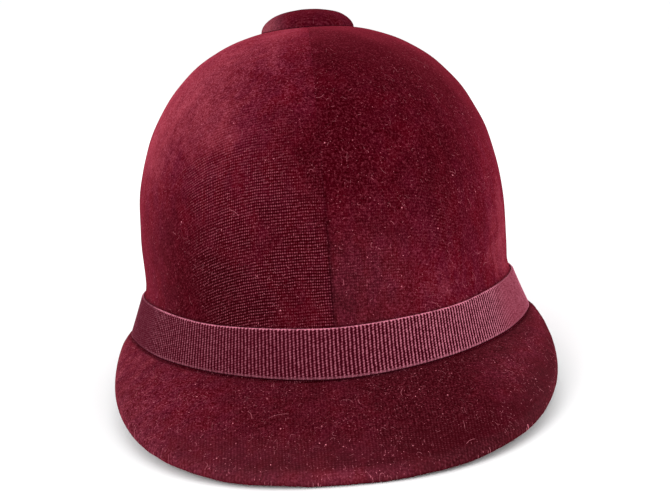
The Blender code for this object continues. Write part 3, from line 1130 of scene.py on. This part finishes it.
def nap_sheen_and_shade_patches(turn, height):
    """How much lighter the table's patches make the nap map, with its painted sheen and painted shade, at
    each vertex.
    """
    degrees = (np.degrees(turn) + 180) % 360 - 180
    total = np.zeros(len(turn))
    for angle, level, angle_reach, height_reach, lighter in NAP_SHEEN_AND_SHADE_PATCHES:
        away = ((degrees - angle) / angle_reach) ** 2 + ((height - level) / height_reach) ** 2
        total += lighter * np.exp(-away)
    return total


# The cover's measures: height, aside in degrees from the nearer of the front and back seams, and fan,
# which is aside less this many degrees to a metre of height
FAN_SPREAD = 120


def woven_paint(start, full):
    """The rows show in a fan by the seam below these heights, and less close by the seam high up."""
    fan = ("fan", 44, 28)
    low = ("height", start, full)
    return ((1.0, fan, low), (-0.8, fan, low, ("aside", 16, 3), ("height", 0.044, 0.066)))


# The quarters' shared paint. Each quarter has its name, its place in order of angle, how strongly its
# woven rows show, how much lint it carries, and its own paint in place of the shared
QUARTER_PAINT = {
    "nap_sheen_and_shade": ((0.24,),),
    "rows": woven_paint(0.128, 0.055),
    "fuzz": ((1.0,),),
    "dust_and_sheen": (),
}
QUARTERS = (
    ("front_left", 0, 0.34, 0.40, {
        "nap_sheen_and_shade": ((0.16,),),
        "rows": woven_paint(0.085, 0.030),
        "dust_and_sheen": ((0.045, ("height", 0.055, 0.020), ("aside", 32, 12)),),
    }),
    ("back_left", 1, 0.6, 0.30, {"nap_sheen_and_shade": ((0.22,),)}),
    ("back_right", 2, 0.6, 0.30, {}),
    ("front_right", 3, 1.25, 0.25, {
        "nap_sheen_and_shade": ((0.24,), (0.13, ("height", 0.080, 0.112), ("aside", 40, 4))),
        "fuzz": ((1.0,), (0.4, ("height", 0.075, 0.115))),
        "dust_and_sheen": ((0.035, ("height", 0.105, 0.070), ("aside", 40, 58)),),
    }),
)
COVER_SHEEN = 0.22

# The ribbon's measures: angle in degrees from the centre front, and aside without its sign. Its paint:
# how plain the ribs are worn, how pale its edges are, its painted shine, a painted highlight that lightens
# it round towards +X, and how beaded its ribs are
WORN_ENDS = (
    (("angle", 40, 53), ("aside", 86, 66)),
    (("angle", -48, -60), ("aside", 86, 66)),
)
RIBBON_PAINT = {
    "faded": tuple((0.62, *end) for end in WORN_ENDS),
    "pale": ((1.0,), *((-0.75, *end) for end in WORN_ENDS)),
    "painted_shine": ((1.0, ("angle", -18, 42), ("angle", 178, 100)),),
    "beaded": ((1.0,), (-0.6, ("angle", 10, 60), ("angle", 178, 120))),
}

# The button's measure: x in the helmet's frame. Its nap is painted lighter towards -X, a painted highlight,
# with dust and painted sheen there as well
BUTTON_PAINT = {
    "nap_sheen_and_shade": ((0.26,), (0.68, ("x", -0.006, -0.024)), (0.14, ("x", 0.010, 0.022))),
    "seam_shade": (),
    "rows": ((0.4,),),
    "dust_and_sheen": ((0.36, ("x", -0.008, -0.022)),),
    "fuzz": ((0.85,),),
}
BUTTON_CLOTH = {"rows": 0.6, "lint": 0.25, "sheen": 0.08}

# The peak's measures: side in degrees from the centre front, aside without its sign, and edge, which
# runs from 0 at the root to 1 at the edge, 2 below it and 3 at the root of the underside
ON_TOP = ("edge", 1.8, 1.4)
PEAK_PAINT = {
    # Nap with painted light: a painted highlight along the top of the front edge, and painted sheen and
    # painted shade across the peak, lighter to the left
    "nap_sheen_and_shade": (
        (0.15,),
        (0.36, ("edge", 0.915, 0.965), ("edge", 1.75, 1.35), ("aside", 20, 1)),
        (0.42, ("side", -4, -58)),
        (-0.20, ("side", -2, 14)),
        (0.07, ("side", 18, 34)),
        (0.27, ("side", 19, 46), ("edge", 0.85, 0.55), ("edge", 0.08, 0.45)),
    ),
    "rows": ((1.0, ("aside", 55, 25)),),
    "fuzz": (
        (1.10,),
        (-0.65, ("edge", 0.50, 0.85), ("side", -60, -20), ("side", 80, 45)),
        (0.30, ("side", -10, -50)),
        (0.30, ("edge", 0.93, 0.99), ("edge", 1.7, 1.4)),
    ),
    "dust_and_sheen": (
        (0.018,),
        (0.045, ("edge", 0.55, 0.85), ("side", 24, -12), ON_TOP),
        (0.040, ("edge", 0.90, 0.97), ON_TOP),
        (0.050, ("side", 28, 50)),
        (0.035, ("side", -35, -60)),
    ),
}
PEAK_CLOTH = {"rows": 0.22, "lint": 0.95, "sheen": 0.12}


# The pieces


def dress(piece, material, slot, *replaced):
    piece.data.materials.clear()
    piece.data.materials.append(material)
    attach(piece, "root")
    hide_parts(*replaced)


def add_cover():
    for side, order, rows, lint, own_paint in QUARTERS:
        piece = make_quarter("velvet_" + side, order)
        turn = get_map(piece, "turn")
        height = helmet_points(piece)[:, 2]
        aside = degrees_from_seam(turn)
        measures = {"height": height, "aside": aside, "fan": aside - FAN_SPREAD * height}
        table = {**QUARTER_PAINT, **own_paint}
        set_map(piece, "nap_sheen_and_shade", painted(table.pop("nap_sheen_and_shade"), measures) + nap_sheen_and_shade_patches(turn, height))
        paint(piece, table, measures)
        material = velvet_material("velvet_" + side + "_cloth", rows, lint, COVER_SHEEN, wall_place)
        dress(piece, material, "velvet", "cover_" + side)


def add_ribbon():
    ribbon = make_ribbon()
    points = helmet_points(ribbon)
    angle = np.degrees(np.arctan2(points[:, 0], WIDEST_Y - points[:, 1]))
    paint(ribbon, RIBBON_PAINT, {"angle": angle, "aside": np.abs(angle)})
    dress(ribbon, grosgrain_material("grosgrain_cloth"), "grosgrain", "ribbon_band")


def add_button():
    button = make_cushion()
    paint(button, BUTTON_PAINT, {"x": helmet_points(button)[:, 0]})
    material = velvet_material("button_cloth", flat_place=wall_place, **BUTTON_CLOTH)
    dress(button, material, "button_velvet", "top_button")


def add_peak():
    peak = make_peak()
    side = np.degrees(get_map(peak, "turn"))
    measures = {"side": side, "aside": np.abs(side), "edge": get_map(peak, "edge")}
    paint(peak, PEAK_PAINT, measures)
    material = velvet_material("peak_cloth", flat_place=peak_place, **PEAK_CLOTH)
    dress(peak, material, "peak_velvet", "peak")


def finish_shell():
    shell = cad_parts["crown_shell"]
    shell.data.materials.clear()
    shell.data.materials.append(shell_material("shell_inside"))


# Camera, light and floor


def add_camera():
    yaw, pitch, roll = (math.radians(a) for a in (CAMERA_YAW, CAMERA_PITCH, CAMERA_ROLL))
    level = Vector((math.sin(yaw), math.cos(yaw), 0))
    ahead = math.cos(pitch) * level - math.sin(pitch) * Vector((0, 0, 1))
    above = math.sin(pitch) * level + math.cos(pitch) * Vector((0, 0, 1))
    right = Vector((math.cos(yaw), -math.sin(yaw), 0))
    picture_right = math.cos(roll) * right - math.sin(roll) * above
    picture_up = math.sin(roll) * right + math.cos(roll) * above
    axes = Matrix((picture_right, picture_up, -ahead)).transposed().to_4x4()
    camera = bpy.data.objects.new("camera", bpy.data.cameras.new("camera"))
    bpy.context.scene.collection.objects.link(camera)
    camera.matrix_world = to_world() @ Matrix.Translation(CAMERA_PLACE) @ axes
    camera.data.sensor_width = SENSOR_MM
    camera.data.lens = SENSOR_MM * FOCAL_PIXELS / PICTURE[0]
    camera.data.shift_x = 0.5 - CENTRE_PIXEL[0] / PICTURE[0]
    camera.data.shift_y = (CENTRE_PIXEL[1] - PICTURE[1] / 2) / PICTURE[0]
    camera.data.clip_start = 0.05
    camera.data.clip_end = 60.0
    bpy.context.scene.camera = camera


# Lights: name, place, width, height, power in watts
LIGHTS = (
    ("key_left", (-0.80, -0.95, 0.75), 0.7, 0.7, 6.0),
    ("fill_right", (1.0, -0.55, 0.45), 0.7, 0.9, 3.0),
    ("front", (0.05, -1.6, 0.45), 1.2, 0.8, 4.0),
    ("back", (0.0, 1.1, 0.8), 1.4, 0.7, 3.0),
)
LIGHT_AIM = (0, 0, 0.08)
WORLD_STRENGTH = 1.06
FLOOR_REACH = 30.0


def add_light(name, place, width, height, power):
    lamp = bpy.data.lights.new(name, "AREA")
    lamp.shape = "RECTANGLE"
    lamp.size = width
    lamp.size_y = height
    lamp.energy = power
    made = bpy.data.objects.new(name, lamp)
    bpy.context.scene.collection.objects.link(made)
    made.location = place
    aim = Vector(LIGHT_AIM) - Vector(place)
    made.rotation_euler = aim.to_track_quat("-Z", "Y").to_euler()


def add_floor():
    corners = [(x * FLOOR_REACH, y * FLOOR_REACH, 0) for x, y in ((-1, -1), (1, -1), (1, 1), (-1, 1))]
    mesh = bpy.data.meshes.new("floor")
    mesh.from_pydata(corners, [], [(0, 1, 2, 3)])
    mesh.materials.append(floor_material("floor_paint"))
    floor = bpy.data.objects.new("floor", mesh)
    bpy.context.scene.collection.objects.link(floor)


def add_studio():
    world = bpy.data.worlds.new("studio")
    bpy.context.scene.world = world
    world.use_nodes = True
    background = world.node_tree.nodes["Background"]
    background.inputs["Color"].default_value = (1.0, 1.0, 1.0, 1.0)
    background.inputs["Strength"].default_value = WORLD_STRENGTH
    for light in LIGHTS:
        add_light(*light)
    bpy.context.scene.view_settings.view_transform = "Standard"


add_cover()
add_ribbon()
add_button()
add_peak()
finish_shell()
add_camera()
add_floor()
add_studio()
